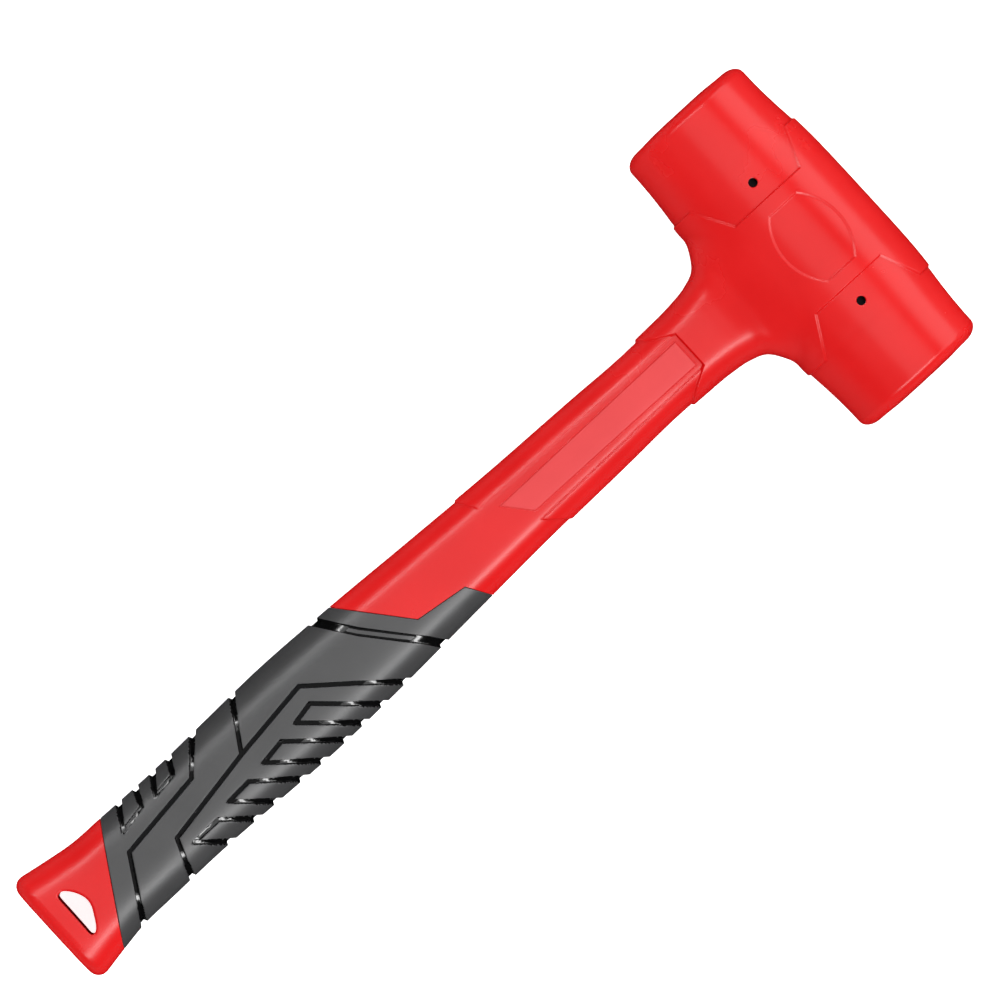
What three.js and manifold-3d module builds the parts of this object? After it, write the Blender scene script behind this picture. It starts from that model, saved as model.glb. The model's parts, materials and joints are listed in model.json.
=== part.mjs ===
// A dead blow mallet: a red polyurethane casting (head, neck, handle and pommel in one piece) over a steel
// canister of loose shot and a steel rod, with a soft black sleeve moulded round the handle.
//
// The design frame has the head's axis along Y, the handle running along -X from it, and Z through the
// handle's thickness, so that both strike faces look along Y. The mallet is drawn level in that frame and
// then laid on its side: turned about Y until the head's band and the pommel both touch the ground, and
// moved so that its origin is the middle of its footprint. All sizes are in millimetres.

import * as THREE from "three";
import { mergeVertices } from "three/addons/utils/BufferGeometryUtils.js";
import Module from "manifold-3d";

const wasm = await Module();
wasm.setup();

// ---- Driving dimensions ----

const CLEARANCE = 0.3; // between a piece and whatever is moulded or fitted round it
const THROUGH = 60; // long enough to pass through the whole mallet
const ROUND_SEGMENTS = 36;
const BOSS_SEGMENTS = 24;
const ROD_SEGMENTS = 20;
const PIN_SEGMENTS = 12;
const ARC_STEPS = 8;

// Head: a band round the middle, stood on a slightly waisted cylinder with a strike face at each end.
const HEAD_HALF_LENGTH = 53;
const BAND_RADIUS = 24.7;
const BAND_HALF_WIDTH = 29.2;
const BAND_EDGE_RADIUS = 23.9;
const BAND_PROUD = 0.55; // of the tongues that reach in under its cut-outs
const END_RADIUS = 22.05;
const END_FLARE = 1.3; // how much wider an end section is where it meets the band
const END_FLARE_LENGTH = 19.8;
const RIM_START = 49; // distance from the middle at which the rim starts to turn in
const RIM_WIDTH = 5.1; // of the rim's rounding, across the face
const RIM_STEPS = 5;
const END_ROWS = [RIM_START, 42, 35, BAND_HALF_WIDTH, 20]; // distances from the middle
const BAND_ROWS = [BAND_HALF_WIDTH, 22, 10, 0];
const BESIDE_HEAD_X = 30; // clear of the head on either side
const FACE_CROWN = 0.4;
const FACE_FLAT_RADIUS = 9;
const TONGUE_HALF_WIDTH_Y = 17.2; // how near the middle the tongues reach
const TONGUE_X = [-10.5, 14.6]; // the tongues' inner ends
const TONGUE_ROOT_X = [-17.3, 19.5]; // the tongues where they leave the end sections
const MEDALLION_DEPTH = 0.35;
const MEDALLION_HALF_LENGTH = 12.6;
const MEDALLION_CENTRE_X = 3.65;
const MEDALLION_ARC_RADIUS = 18.6;
const MEDALLION_HALF_HEIGHT = 10.15;
const MOULD_PIN_DIAMETER = 2.8;
const MOULD_PIN_X = 1.7;
const MOULD_PIN_Y = 23.2;

// Handle: half-width across Y and half-thickness across Z at stations along X, of its plain surface.
const HANDLE_STATIONS = [
  [-12, 21.6, 17.2],
  [-20, 21.0, 14.8],
  [-24.8, 19.2, 13.0],
  [-28.7, 15.1, 11.8],
  [-33, 13.3, 11.2],
  [-40, 12.2, 10.8],
  [-50, 11.75, 10.6],
  [-60, 11.55, 10.6],
  [-80, 12.15, 10.6],
  [-112, 12.95, 10.9],
  [-142, 14.3, 11.5],
  [-177, 15.95, 12.3],
  [-200, 16.5, 12.6],
  [-221, 15.95, 12.3],
  [-242, 15.4, 12.0],
  [-264, 15.65, 11.7],
  [-274, 15.85, 11.6],
  [-283, 17.15, 11.7],
  [-291.8, 18.7, 11.8],
];
const HANDLE_ROWS = 25;
const SECTION_SEGMENTS = 24;
const SECTION_POWER = 2.8; // superellipse: flat front and back, well rounded sides
const POMMEL_END_X = -295.3;
const POMMEL_ROUNDING = 3.5;
const POMMEL_ROUNDING_ROWS = 3;
const COLLAR_PROUD = 1.2;
const COLLAR_EDGE = [[-55.2, 12.1], [-50, 8.7], [-44.3, 5.8]]; // from the side in to its window
const RAIL_PROUD = 0.5;
const RAIL_INNER_Y = 7.2;
const RAIL_CORNER_Y = 13;
const RAIL_START_X = -51;
const RAIL_END_X = { left: -124.5, leftInner: -121, rightInner: -109.4, right: -102.6 };
const PAD_PROUD = 0.35;
const PAD_OUTLINE = [[-46, 4.4], [-46, -4.6], [-109, -4.1], [-115.6, 3.7]];
const HANG_HOLE = [ // one straight side, across the handle, and two bowed ones that meet at a round corner
  [-287.6, -7.2], [-286.9, -7.9], [-285.8, -7.7], [-284.5, -6.4], [-283.0, -3.9], [-281.8, -1.6],
  [-281.4, 0.4], [-281.7, 2.4], [-282.8, 4.8], [-284.4, 6.8], [-285.6, 7.5], [-286.9, 7.3], [-287.4, 6.4],
];

// Grip: a sleeve flush with the handle between two slanted edges, with cut lines in its surface.
const GRIP_THICKNESS = 2.8;
const GRIP_TOP_EDGE = [[-176, 20.4], [-155.6, -4.4], [-139.1, -6.7], [-131, -20.4]];
const GRIP_BOTTOM_EDGE = [[-286, -21.5], [-260.2, 20]];
const GROOVE_DEPTH = 0.8;
const GROOVES = [
  { width: 2, path: [[-181.5, 20], [-170.6, 4.6], [-157.3, -11.2], [-152, -19]] },
  {
    width: 1.4,
    path: [[-164, -21], [-181.6, -5.6], [-194.2, 4.8], [-219.5, 1.5], [-250.1, -3.8], [-257, -19]],
  },
  { width: 1.2, path: [[-208, 20], [-219.7, 1.7]] },
  { width: 1.2, path: [[-222.5, 20], [-235.3, 6.2], [-263.1, 2.6], [-276.5, -19.5]] },
];

// Steel inside: the shot canister, and the rod that a boss on the canister holds.
const CANISTER_RADIUS = 19;
const CANISTER_WALL = 1.6;
const CANISTER_HALF_LENGTH = 42;
const CANISTER_LIP = 3.4; // how far each end is rolled in over its cap
const CANISTER_CORNER = 1.2;
const CAP_THICKNESS = 2.5;
const CAP_DISH = 0.8;
const CAP_DISH_RADIUS = 11;
const CAP_DISH_SLOPE = 1; // how far the dish's side runs in
const CAP_CHAMFER = 0.6;
const SOCKET_RADIUS = 9;
const SOCKET_FOOT_RADIUS = 11.5;
const SOCKET_FOOT_X = -22.5;
const SOCKET_X = [-14, -45];
const SOCKET_BORE_X = [-23, -46];
const ROD_RADIUS = 5;
const ROD_X = [-24, -262];
const ROD_CHAMFER = 1;
const PIN_RADIUS = 2;
const PIN_X = -36;
const PIN_HALF_LENGTH = 8;

// Shot: layers of seven, one ball in the middle and six round it.
const SHOT_RADIUS = 5.5;
const SHOT_PITCH = 11.2;
const SHOT_LAYERS = 5;
const SHOT_RING = 6;

// ---- Materials ----

function finish(color, roughness, metalness) {
  return new THREE.MeshStandardMaterial({ color, roughness, metalness });
}

const POLYURETHANE = () => finish(0xd81416, 0.42, 0);
const GRIP_RUBBER = () => finish(0x3a3a3c, 0.7, 0);
const CANISTER_STEEL = () => finish(0x2b2d30, 0.5, 1);
const ROD_STEEL = () => finish(0x6f7276, 0.5, 1);
const SHOT_STEEL = () => finish(0xa7a9ac, 0.25, 1);

// ---- Solids and shapes ----

// A closed geometry as a solid that can be cut and joined.
function solid(geometry) {
  geometry.deleteAttribute("normal");
  geometry.deleteAttribute("uv");
  const merged = mergeVertices(geometry, 1e-4);
  return new wasm.Manifold(
    new wasm.Mesh({
      numProp: 3,
      vertProperties: merged.attributes.position.array,
      triVerts: new Uint32Array(merged.index.array),
    }),
  );
}

// A solid as a named mesh with its own material.
function meshOf(name, body, material) {
  const { vertProperties, triVerts } = body.getMesh();
  const geometry = new THREE.BufferGeometry();
  geometry.setAttribute("position", new THREE.BufferAttribute(vertProperties, 3));
  geometry.setIndex(new THREE.BufferAttribute(triVerts, 1));
  geometry.computeVertexNormals();
  const mesh = new THREE.Mesh(geometry, material);
  mesh.name = name;
  return mesh;
}

// A prism through the whole thickness, from an outline given as [x, y] points.
function prism(outline) {
  const shape = new THREE.Shape(outline.map(([x, y]) => new THREE.Vector2(x, y)));
  const geometry = new THREE.ExtrudeGeometry(shape, { depth: THROUGH, bevelEnabled: false });
  return solid(geometry.translate(0, 0, -THROUGH / 2));
}

// A solid of revolution about Y, from [radius, y] points in order of rising y.
function lathe(profile, segments = ROUND_SEGMENTS) {
  const points = profile.map(([r, y]) => new THREE.Vector2(r, y));
  return solid(new THREE.LatheGeometry(points, segments));
}

// A profile's upper half, followed by its mirror image below, in order of rising y.
function mirrored(upperHalf) {
  const lowerHalf = upperHalf.filter(([, y]) => y > 0).map(([r, y]) => [r, -y]);
  return [...lowerHalf, ...upperHalf.toReversed()];
}

// A round bar along X between two stations.
function barAlongX(radius, [xStart, xEnd], segments) {
  const geometry = new THREE.CylinderGeometry(radius, radius, Math.abs(xEnd - xStart), segments);
  return solid(geometry.rotateZ(Math.PI / 2).translate((xStart + xEnd) / 2, 0, 0));
}

// A round bar along Z, centred on z = 0.
function barAlongZ(radius, length, x, y, segments) {
  const geometry = new THREE.CylinderGeometry(radius, radius, length, segments);
  return solid(geometry.rotateX(Math.PI / 2).translate(x, y, 0));
}

// The outline of a strip of even width along a path, with mitred corners.
function stripOutline(path, width) {
  const points = path.map(([x, y]) => new THREE.Vector2(x, y));
  const along = points.slice(1).map((p, i) => p.clone().sub(points[i]).normalize());
  const sides = points.map((p, i) => {
    const before = along[Math.max(i - 1, 0)];
    const after = along[Math.min(i, along.length - 1)];
    const mitre = new THREE.Vector2(-before.y - after.y, before.x + after.x).normalize();
    const reach = width / 2 / (mitre.x * -after.y + mitre.y * after.x);
    return [p.clone().addScaledVector(mitre, reach), p.clone().addScaledVector(mitre, -reach)];
  });
  const left = sides.map(([l]) => [l.x, l.y]);
  const right = sides.map(([, r]) => [r.x, r.y]);
  return [...right, ...left.toReversed()];
}

// ---- Handle ----

const handleCurve = new THREE.CatmullRomCurve3(
  HANDLE_STATIONS.map(([x, w, t]) => new THREE.Vector3(x, w, t)),
);

// Sections of the handle from the head to the butt, as { x, halfWidth, halfThickness }.
function handleSections() {
  const points = handleCurve.getPoints(HANDLE_ROWS);
  const sections = points.map((p) => ({ x: p.x, halfWidth: p.y, halfThickness: p.z }));
  const last = sections[sections.length - 1];
  for (let i = 1; i <= POMMEL_ROUNDING_ROWS; i++) {
    const angle = ((i / POMMEL_ROUNDING_ROWS) * Math.PI) / 2;
    const inset = POMMEL_ROUNDING * (1 - Math.cos(angle));
    sections.push({
      x: last.x + (POMMEL_END_X - last.x) * Math.sin(angle),
      halfWidth: last.halfWidth - inset,
      halfThickness: last.halfThickness - inset,
    });
  }
  return sections;
}

// The whole handle, grown outwards by an offset: a cylinder whose rings are moved onto its sections.
function handleBody(offset) {
  const sections = handleSections();
  const rows = sections.length - 1;
  const geometry = new THREE.CylinderGeometry(1, 1, 1, SECTION_SEGMENTS, rows);
  const position = geometry.attributes.position;
  const squared = (value) => Math.sign(value) * Math.abs(value) ** (2 / SECTION_POWER);
  for (let i = 0; i < position.count; i++) {
    const section = sections[Math.round((0.5 - position.getY(i)) * rows)];
    const across = squared(position.getX(i)) * (section.halfWidth + offset);
    const through = squared(position.getZ(i)) * (section.halfThickness + offset);
    position.setXYZ(i, section.x, across, -through);
  }
  return solid(geometry);
}

// The neck and collar: a thicker skin from the head down, with a stepped window cut in its lower edge.
function collar() {
  const half = [[0, THROUGH], [COLLAR_EDGE[0][0], THROUGH], ...COLLAR_EDGE];
  const otherHalf = half.map(([x, y]) => [x, -y]).toReversed();
  return handleBody(COLLAR_PROUD).intersect(prism([...half, ...otherHalf]));
}

// A rail down one side of the shaft, from under the collar to a slanted end.
function rail(side, innerEndX, outerEndX) {
  const inner = side * RAIL_INNER_Y;
  const corner = side * RAIL_CORNER_Y;
  const outside = side * THROUGH;
  const outline = [
    [RAIL_START_X, inner], [RAIL_START_X, outside], [outerEndX, outside], [outerEndX, corner],
    [innerEndX, inner],
  ];
  return handleBody(RAIL_PROUD).intersect(prism(side > 0 ? outline : outline.toReversed()));
}

// ---- Head ----

function bandRadius(y) {
  return BAND_RADIUS - (BAND_RADIUS - BAND_EDGE_RADIUS) * (y / BAND_HALF_WIDTH) ** 4;
}

function endRadius(y) {
  const flare = END_RADIUS + END_FLARE * ((RIM_START - y) / END_FLARE_LENGTH) ** 2;
  return Math.min(flare, bandRadius(Math.min(y, BAND_HALF_WIDTH)) - BAND_PROUD);
}

// The head without its band: a rounded rim, a slightly crowned face with a flat middle, and tongues.
function headCore() {
  const upper = [[0, HEAD_HALF_LENGTH], [FACE_FLAT_RADIUS, HEAD_HALF_LENGTH]];
  const rimHeight = HEAD_HALF_LENGTH - FACE_CROWN - RIM_START;
  for (let i = 0; i < RIM_STEPS; i++) {
    const angle = (1 - i / RIM_STEPS) * (Math.PI / 2);
    const radius = endRadius(RIM_START) - RIM_WIDTH * (1 - Math.cos(angle));
    upper.push([radius, RIM_START + rimHeight * Math.sin(angle)]);
  }
  for (const y of END_ROWS) {
    upper.push([endRadius(y), y]);
  }
  return lathe(mirrored(upper));
}

function bandSkin(depth) {
  const upper = BAND_ROWS.map((y) => [bandRadius(y) - depth, y]);
  return lathe(mirrored([[0, BAND_HALF_WIDTH], ...upper]));
}

function band() {
  const half = [
    [-BESIDE_HEAD_X, BAND_HALF_WIDTH], [TONGUE_ROOT_X[0], BAND_HALF_WIDTH],
    [TONGUE_X[0], TONGUE_HALF_WIDTH_Y], [TONGUE_X[1], TONGUE_HALF_WIDTH_Y],
    [TONGUE_ROOT_X[1], BAND_HALF_WIDTH], [BESIDE_HEAD_X, BAND_HALF_WIDTH],
  ];
  const outline = [...half.map(([x, y]) => [x, -y]), ...half.toReversed()];
  return bandSkin(0).intersect(prism(outline));
}

// The shallow lens-shaped recess in the front and the back of the band.
function medallion() {
  const arc = [];
  const drop = MEDALLION_ARC_RADIUS - MEDALLION_HALF_HEIGHT;
  for (let i = 0; i <= ARC_STEPS; i++) {
    const y = MEDALLION_HALF_LENGTH * ((2 * i) / ARC_STEPS - 1);
    arc.push([Math.sqrt(MEDALLION_ARC_RADIUS ** 2 - y ** 2) - drop, y]);
  }
  const left = arc.map(([x, y]) => [MEDALLION_CENTRE_X - x, -y]);
  const outline = [...arc.map(([x, y]) => [MEDALLION_CENTRE_X + x, y]), ...left];
  return prism(outline).subtract(bandSkin(MEDALLION_DEPTH));
}

// The two small holes, through front and back, that the pins holding the canister in the mould leave.
function mouldPinHoles() {
  const hole = (y) => barAlongZ(MOULD_PIN_DIAMETER / 2, THROUGH, MOULD_PIN_X, y, PIN_SEGMENTS);
  return hole(MOULD_PIN_Y).add(hole(-MOULD_PIN_Y));
}

// ---- Grip ----

// The sleeve's outline on the handle, grown along X by a margin.
function gripOutline(margin) {
  const top = GRIP_TOP_EDGE.map(([x, y]) => [x + margin, y]);
  const bottom = GRIP_BOTTOM_EDGE.map(([x, y]) => [x - margin, y]);
  return [...top.toReversed(), ...bottom.toReversed()].toReversed();
}

function grip() {
  const sleeve = handleBody(0).subtract(handleBody(-GRIP_THICKNESS)).intersect(prism(gripOutline(0)));
  const strips = GROOVES.map(({ width, path }) => prism(stripOutline(path, width)));
  const cutter = wasm.Manifold.union(strips).subtract(handleBody(-GROOVE_DEPTH));
  return meshOf("grip", sleeve.subtract(cutter), GRIP_RUBBER());
}

// ---- Steel inside ----

// The canister's closed section, as a tube whose ends are rolled in, grown outwards by an offset.
function canisterShell() {
  const inner = CANISTER_RADIUS - CANISTER_WALL;
  const end = CANISTER_HALF_LENGTH;
  const mouth = CANISTER_RADIUS - CANISTER_LIP;
  const bulge = CANISTER_CORNER * (1 - Math.SQRT1_2);
  const outside = [
    [CANISTER_RADIUS, end - CANISTER_CORNER], [CANISTER_RADIUS - bulge, end - bulge],
    [CANISTER_RADIUS - CANISTER_CORNER, end], [mouth, end], [mouth, end - CANISTER_WALL],
    [inner, end - CANISTER_WALL],
  ];
  const loop = [...outside.map(([r, y]) => [r, -y]).toReversed(), ...outside];
  return lathe([...loop, loop[0]]);
}

// The solid outer shape of the canister, for the hollow that the casting leaves round it.
function canisterHollow() {
  const radius = CANISTER_RADIUS + CLEARANCE;
  const end = CANISTER_HALF_LENGTH + CLEARANCE;
  const corner = [[radius - CANISTER_CORNER, end], [radius, end - CANISTER_CORNER]];
  return lathe(mirrored([[0, end], ...corner, [radius, 0]]));
}

function canisterTube() {
  return meshOf("canister_tube", canisterShell(), CANISTER_STEEL());
}

// A pressed disc that closes one end of the canister, dished towards the shot.
function canisterCap(name, side) {
  const radius = CANISTER_RADIUS - CANISTER_WALL - CLEARANCE;
  const outer = CANISTER_HALF_LENGTH - CANISTER_WALL - CLEARANCE;
  const inner = outer - CAP_THICKNESS;
  const profile = [
    [0, inner], [radius - CAP_CHAMFER, inner], [radius, inner + CAP_CHAMFER],
    [radius, outer - CAP_CHAMFER], [radius - CAP_CHAMFER, outer], [CAP_DISH_RADIUS, outer],
    [CAP_DISH_RADIUS - CAP_DISH_SLOPE, outer - CAP_DISH], [0, outer - CAP_DISH],
  ];
  const cap = lathe(profile);
  return meshOf(name, side > 0 ? cap : cap.rotate([180, 0, 0]), CANISTER_STEEL());
}

// The boss that holds the rod: a bored post with a wider foot, shaped to sit on the canister.
function handleSocket() {
  const post = barAlongX(SOCKET_RADIUS, SOCKET_X, BOSS_SEGMENTS);
  const foot = barAlongX(SOCKET_FOOT_RADIUS, [SOCKET_X[0], SOCKET_FOOT_X], BOSS_SEGMENTS);
  const bore = barAlongX(ROD_RADIUS + CLEARANCE, SOCKET_BORE_X, ROD_SEGMENTS);
  const pinHole = barAlongZ(PIN_RADIUS + CLEARANCE, THROUGH, PIN_X, 0, PIN_SEGMENTS);
  const body = post.add(foot).subtract(canisterHollow()).subtract(bore).subtract(pinHole);
  return meshOf("handle_socket", body, CANISTER_STEEL());
}

function handleRod() {
  const half = Math.abs(ROD_X[1] - ROD_X[0]) / 2;
  const upper = [[0, half], [ROD_RADIUS - ROD_CHAMFER, half], [ROD_RADIUS, half - ROD_CHAMFER]];
  const centre = (ROD_X[0] + ROD_X[1]) / 2;
  const bar = lathe(mirrored(upper), ROD_SEGMENTS).rotate([0, 0, 90]).translate([centre, 0, 0]);
  const pinHole = barAlongZ(PIN_RADIUS + CLEARANCE, THROUGH, PIN_X, 0, PIN_SEGMENTS);
  return meshOf("handle_rod", bar.subtract(pinHole), ROD_STEEL());
}

function crossPin() {
  const pin = barAlongZ(PIN_RADIUS, 2 * PIN_HALF_LENGTH, PIN_X, 0, PIN_SEGMENTS);
  return meshOf("cross_pin", pin, ROD_STEEL());
}

// The hollow in the casting for the canister, the boss and the rod together.
function steelHollow() {
  const room = (radius, [start, end], segments) =>
    barAlongX(radius + CLEARANCE, [start, end - CLEARANCE], segments);
  const foot = room(SOCKET_FOOT_RADIUS, [SOCKET_X[0], SOCKET_FOOT_X], BOSS_SEGMENTS);
  const post = room(SOCKET_RADIUS, SOCKET_X, BOSS_SEGMENTS);
  const rod = room(ROD_RADIUS, ROD_X, ROD_SEGMENTS);
  return canisterHollow().add(foot).add(post).add(rod);
}

// ---- Casting ----

function casing() {
  const raised = [
    headCore(),
    band(),
    handleBody(0),
    collar(),
    rail(1, RAIL_END_X.leftInner, RAIL_END_X.left),
    rail(-1, RAIL_END_X.rightInner, RAIL_END_X.right),
    handleBody(PAD_PROUD).intersect(prism(PAD_OUTLINE.toReversed())),
  ];
  const underGrip = prism(gripOutline(CLEARANCE)).subtract(handleBody(-GRIP_THICKNESS - CLEARANCE));
  const cuts = [medallion(), mouldPinHoles(), prism(HANG_HOLE), underGrip, steelHollow()];
  const body = wasm.Manifold.union(raised).subtract(wasm.Manifold.union(cuts));
  return meshOf("casing", body, POLYURETHANE());
}

// ---- Shot ----

function shotBalls() {
  const balls = [];
  for (let layer = 0; layer < SHOT_LAYERS; layer++) {
    for (let i = 0; i <= SHOT_RING; i++) {
      const angle = (i / SHOT_RING) * 2 * Math.PI;
      const reach = i < SHOT_RING ? SHOT_PITCH : 0;
      const geometry = new THREE.IcosahedronGeometry(SHOT_RADIUS, 1);
      const name = `shot_ball_${String(balls.length + 1).padStart(2, "0")}`;
      const ball = meshOf(name, solid(geometry), SHOT_STEEL());
      const y = (layer - (SHOT_LAYERS - 1) / 2) * SHOT_PITCH;
      ball.position.set(reach * Math.cos(angle), y, reach * Math.sin(angle));
      balls.push(ball);
    }
  }
  return balls;
}

// ---- Assembly ----

const mallet = new THREE.Group();
mallet.add(
  casing(),
  grip(),
  canisterTube(),
  canisterCap("canister_cap_front", 1),
  canisterCap("canister_cap_rear", -1),
  handleSocket(),
  handleRod(),
  crossPin(),
  ...shotBalls(),
);

// Laid on its side, the head's band and the pommel both touch the ground.
const [pommelX, , pommelHalfThickness] = HANDLE_STATIONS[HANDLE_STATIONS.length - 1];
const reach = Math.hypot(pommelX, pommelHalfThickness);
const tilt = Math.asin(BAND_RADIUS / reach) - Math.asin(pommelHalfThickness / reach);
mallet.rotation.y = -tilt;

const box = new THREE.Box3().setFromObject(mallet, true);
const middle = box.getCenter(new THREE.Vector3());
mallet.position.set(-middle.x, -middle.y, -box.min.z);

const group = new THREE.Group();
group.add(mallet);

export default group;
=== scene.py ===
"""Dead blow mallet: its looks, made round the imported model.

The visible pieces are drawn in the mallet's own frame, in millimetres: the head's axis along Y, the
handle along -X from it, and Z through the handle's thickness. TO_ROW turns that frame to where the
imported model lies, in metres.

The casing and the grip start as one smooth blank. Edges are scored into it beside every outline, the
surface between them is raised or sunk, and each corner gets the normal of the shape it stands for.
"""

import json
import math

import bmesh
import bpy
import numpy as np
from mathutils import Matrix, Vector


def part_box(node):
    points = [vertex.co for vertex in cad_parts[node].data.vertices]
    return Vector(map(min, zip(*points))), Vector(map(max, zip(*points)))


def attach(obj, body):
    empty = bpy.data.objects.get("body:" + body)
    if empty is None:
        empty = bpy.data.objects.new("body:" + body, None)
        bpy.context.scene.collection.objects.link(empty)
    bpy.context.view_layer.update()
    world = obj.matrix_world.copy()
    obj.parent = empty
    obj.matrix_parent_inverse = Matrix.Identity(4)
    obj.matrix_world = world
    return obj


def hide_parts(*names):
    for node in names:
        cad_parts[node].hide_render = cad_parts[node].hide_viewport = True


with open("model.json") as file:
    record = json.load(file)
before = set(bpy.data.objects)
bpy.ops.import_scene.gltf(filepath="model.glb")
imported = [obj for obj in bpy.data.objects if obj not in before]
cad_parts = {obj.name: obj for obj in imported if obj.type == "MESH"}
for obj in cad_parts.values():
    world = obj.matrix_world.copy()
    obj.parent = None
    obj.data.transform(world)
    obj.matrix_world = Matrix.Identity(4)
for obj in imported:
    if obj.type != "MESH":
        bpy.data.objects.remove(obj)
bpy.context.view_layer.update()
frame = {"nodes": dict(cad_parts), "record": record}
SCENE = bpy.context.scene
MM = 0.001

# ---- The mallet's own frame ----

MOUNTS = {mount["name"]: mount for mount in frame["record"]["mounts"]}
FACES = [Vector(MOUNTS[name]["pos_m"]) for name in ("strike_face_front", "strike_face_rear")]
HEAD_CENTRE = (FACES[0] + FACES[1]) / 2
ALONG = -Vector(MOUNTS["butt_end"]["axis"]).normalized()
ACROSS = Vector((0, 1, 0))
THROUGH = ALONG.cross(ACROSS)
TURN = Matrix((ALONG, ACROSS, THROUGH)).transposed()
TO_ROW = Matrix.Translation(HEAD_CENTRE) @ TURN.to_4x4() @ Matrix.Scale(MM, 4)
HEAD_HALF_LENGTH = (FACES[0] - FACES[1]).length / 2 / MM
BUTT_X = (Vector(MOUNTS["butt_end"]["pos_m"]) - HEAD_CENTRE).dot(ALONG) / MM

# ---- Sizes, in millimetres ----

BLANK_CELL = 1.15  # the blank's face size
ROUGH_INSET = 0.5  # how far inside the blank its rough solids are
ROUGH_HEAD_RADIUS = 23.0
ROUGH_HANDLE_END_X = -10.0
ROUGH_RINGS = 90

BAND_RADIUS, BAND_EDGE_RADIUS, BAND_HALF_WIDTH = 24.6, 23.9, 29.2
BAND_PROUD = 0.55
BAND_FADE = 6.0  # how far from the neck the band reaches its full height
TONGUE_BLEND = 0.35
END_RADIUS, END_FLARE, END_FLARE_LENGTH = 22.05, 1.3, 19.8
RIM_START, RIM_WIDTH = 49.0, 5.1
FACE_CROWN, FACE_FLAT_RADIUS = 0.4, 9.0
NECK_FILLET = 4.0
NECK_START_X, NECK_RUN = -44.0, 14.0  # where the shaft's raised parts fade into the neck
HANDLE_ROOT_X = -6.0  # where the handle ends inside the head

SECTION_POWER = 2.8
POMMEL_ROUNDING = 3.5
HANDLE = (  # x, half-width, half-thickness
    (-291.8, 18.7, 11.8),
    (-283, 17.15, 11.7),
    (-274, 15.85, 11.6),
    (-264, 15.65, 11.7),
    (-242, 15.4, 12.0),
    (-221, 15.95, 12.3),
    (-200, 16.5, 12.6),
    (-177, 15.95, 12.3),
    (-142, 14.3, 11.5),
    (-112, 12.95, 10.9),
    (-80, 12.15, 10.6),
    (-60, 11.55, 10.6),
    (-50, 11.75, 10.6),
    (-40, 12.2, 10.8),
    (-33, 13.3, 11.2),
    (-28.7, 15.1, 11.8),
    (-24.8, 19.2, 13.0),
    (-20, 21.0, 14.8),
    (-12, 21.6, 17.2),
)

COLLAR_PROUD = 1.2
RAIL_PROUD = 0.5
PAD_PROUD = 0.35
MEDALLION_DEPTH = 0.35
GRIP_THICKNESS = 2.8
GROOVE_DEPTH = 1.1
CHANNEL_DEPTH = 0.8
FAR = 40  # past the mallet's sides

CANISTER_RADIUS, CANISTER_HALF_LENGTH, CANISTER_WALL = 19.0, 42.0, 1.6
CANISTER_LIP, CANISTER_CORNER = 3.4, 1.2
CAP_THICKNESS, CAP_DISH, CAP_DISH_RADIUS, CAP_EDGE = 2.5, 0.8, 11.0, 0.6
FIT = 0.3  # between a piece and whatever is fitted round it
POST_RADIUS, FOOT_RADIUS, FOOT_X, POST_END_X, BORE_START_X = 9.0, 11.5, -22.5, -45.0, -23.0
SOCKET_START_X = -14.0  # inside the canister, whose shape is then cut from it
ROD_RADIUS, ROD_START_X, ROD_END_X, ROD_CHAMFER = 5.0, -24.0, -262.0, 1.0
PIN_RADIUS, PIN_X, PIN_HALF_LENGTH, PIN_EDGE = 2.0, -36.0, 8.0, 0.3
HOLLOW_START_X = -8.0  # where the room for the handle's steel starts, inside the canister's own


def mirrored_in_y(points):
    return [(x, -y) for x, y in reversed(points)]


def arc(centre, radius, start, end, steps, squash=1.0):
    """Points round an arc, from one angle in degrees to another, squashed along X."""
    turns = [math.radians(start + (end - start) * i / steps) for i in range(steps + 1)]
    return [(centre[0] + squash * radius * math.cos(t), centre[1] + radius * math.sin(t)) for t in turns]


def rounded_loop(points, steps):
    """A smooth closed curve through points, in steps from each to the next."""
    curve = []
    for i in range(len(points)):
        a, b, c, d = (np.array(points[(i + k) % len(points)]) for k in (-1, 0, 1, 2))
        for t in (j / steps for j in range(steps)):
            place = b + (c - a) * t / 2 + (2 * a - 5 * b + 4 * c - d) * t**2 / 2 + (3 * b - a - 3 * c + d) * t**3 / 2
            curve.append(tuple(place))
    return curve


def lens(centre_x, radius, half_length, half_height, steps):
    """A flat-ended lens: two bowed sides along Y."""
    swing = math.degrees(math.asin(half_length / radius))
    side = arc((centre_x - radius + half_height, 0), radius, -swing, swing, steps)
    return side + [(2 * centre_x - x, -y) for x, y in side]


TONGUE_END = [(-FAR, 29.2), (-17.3, 29.2), (-10.5, 17.2), (14.6, 17.2), (19.5, 29.2), (FAR, 29.2)]
BAND_OUTLINE = TONGUE_END + mirrored_in_y(TONGUE_END)
MEDALLION_OUTLINE = lens(3.65, 18.6, 12.6, 10.15, 14)
MOULD_PINS = [(1.7, 23.2), (1.7, -23.2)]
MOULD_PIN_RADIUS = 1.4
COLLAR_EDGE = [
    (-55.2, FAR), (-55.2, 12.1), (-50, 8.7), (-44.3, 5.8),
    (-44.3, -5.8), (-50, -8.7), (-55.2, -12.1), (-55.2, -FAR),
]
COLLAR_OUTLINE = [*COLLAR_EDGE, (0, -FAR), (0, FAR)]
RAIL_OUTLINES = [
    [(-46, 6.3), (-46, FAR), (-124.5, FAR), (-124.5, 13), (-121, 7.6)],
    [(-46, -6.3), (-109.4, -7.2), (-102.6, -13), (-102.6, -FAR), (-46, -FAR)],
]
PAD_OUTLINE = [(-46, 4.4), (-115.6, 3.7), (-109, -4.1), (-46, -4.6)]
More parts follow.
